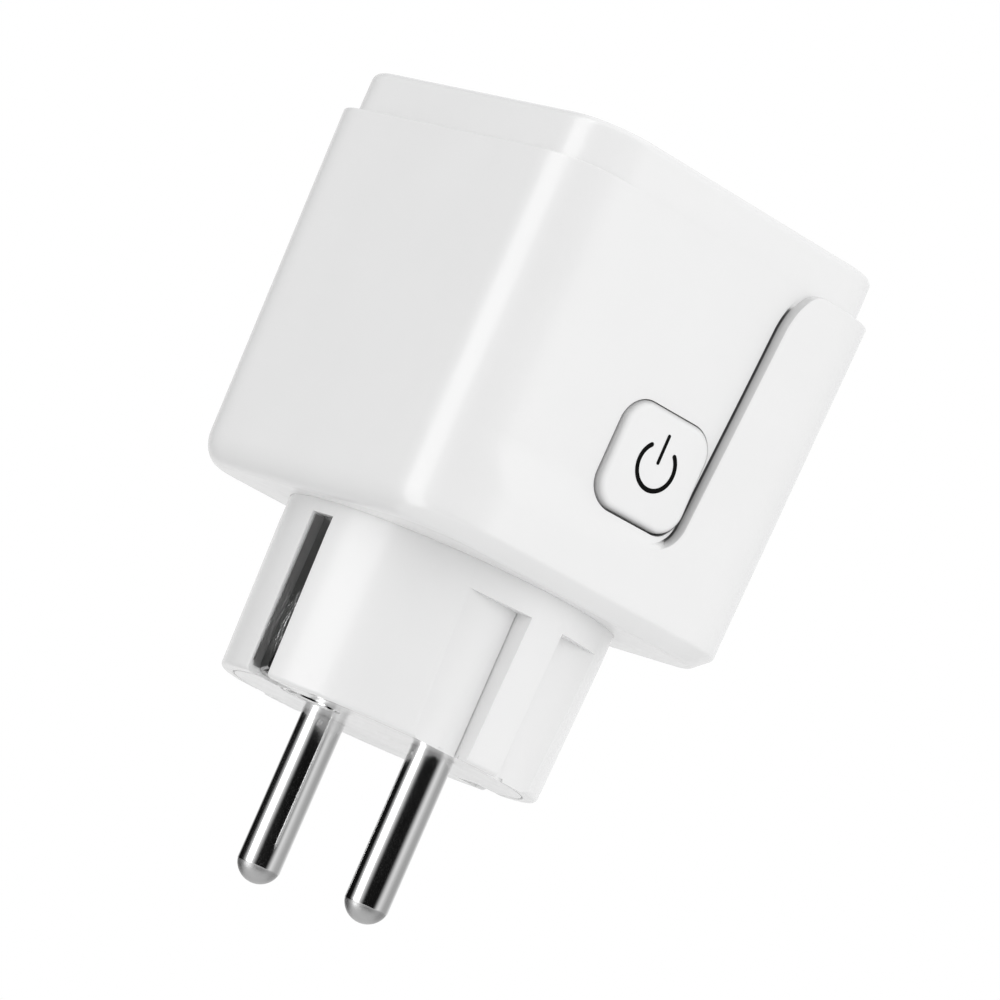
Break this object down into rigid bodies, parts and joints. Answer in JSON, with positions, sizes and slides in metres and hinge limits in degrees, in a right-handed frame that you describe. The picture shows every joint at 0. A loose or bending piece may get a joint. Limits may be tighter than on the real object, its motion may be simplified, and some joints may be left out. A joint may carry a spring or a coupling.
{
  "type": "smart plug",
  "caption": "Square white smart plug adapter with a round earthed plug below, a matching recessed socket in its stepped top cap, and a square power button on the front.",
  "frame": {"origin": "centre of the plug's flat face, which meets the floor of the wall socket", "axes": "+Z points away from the wall, out of the top socket; -Y is the front with the power button; +X is to the right seen from the front; the two pins lie at Y = -9.5 mm and +9.5 mm and point along -Z"},
  "size_m": [0.0472, 0.0472, 0.0832],
  "materials": {
    "white_plastic": "smooth moulded white plastic with a soft satin gloss",
    "inner_plastic": "plain moulded plastic",
    "black_print": "printed black ink",
    "nickel_plate": "bright nickel plate",
    "brass": "stamped spring brass",
    "steel": "zinc-plated steel",
    "circuit_board": "green solder mask",
    "dark_plastic": "black moulded package",
    "blue_case": "blue moulded or dipped case",
    "film_case": "yellow moulded case",
    "copper_wire": "enamelled copper",
    "ceramic_grey": "grey ceramic coating",
    "led_lens": "clear moulded lens"
  },
  "bodies": {
    "housing": {"back_contact": "brass", "back_pin": "nickel_plate", "board_screw_left": "steel", "board_screw_right": "steel", "bridge_rectifier": "dark_plastic", "bulk_capacitor": "dark_plastic", "button_board": "circuit_board", "case_shell": "white_plastic", "converter_chip": "dark_plastic", "cover_screw_left": "steel", "cover_screw_right": "steel", "current_shunt": "copper_wire", "earth_bridge": "nickel_plate", "earth_clip_left": "nickel_plate", "earth_clip_right": "nickel_plate", "earth_pin_socket": "nickel_plate", "earth_strip_left": "nickel_plate", "earth_strip_right": "nickel_plate", "film_capacitor": "film_case", "front_contact": "brass", "front_pin": "nickel_plate", "fuse_resistor": "ceramic_grey", "main_board": "circuit_board", "metering_chip": "dark_plastic", "output_capacitor": "dark_plastic", "pin_carrier": "inner_plastic", "plug_body": "white_plastic", "power_inductor": "copper_wire", "relay": "blue_case", "shield_can": "steel", "shutter_cover": "inner_plastic", "shutter_spring": "steel", "socket_cap": "white_plastic", "status_led": "led_lens", "switch_body": "dark_plastic", "varistor": "blue_case", "wireless_board": "blue_case"},
    "button": {"power_button": "white_plastic", "power_symbol_ring": "black_print", "power_symbol_bar": "black_print"},
    "plunger": {"switch_plunger": "inner_plastic"},
    "shutter_disc": {"shutter": "inner_plastic"}
  },
  "joints": [
    {"name": "button_press", "type": "slide", "parent": "housing", "child": "button", "axis": [0, 1, 0], "range_m": [0, 0.0004], "stiffness_N_per_m": 600, "springref_m": -0.002},
    {"name": "plunger_press", "type": "slide", "parent": "housing", "child": "plunger", "axis": [0, 1, 0], "range_m": [0, 0.0004]},
    {"name": "shutter_turn", "type": "hinge", "parent": "housing", "child": "shutter_disc", "pos_m": [0, 0, 0.042], "axis": [0, 0, 1], "range_deg": [0, 40], "stiffness_Nm_per_rad": 0.002, "springref_deg": -28.65}
  ],
  "couplings": [
    {"joint": "plunger_press", "follows": "button_press", "ratio": 1}
  ]
}
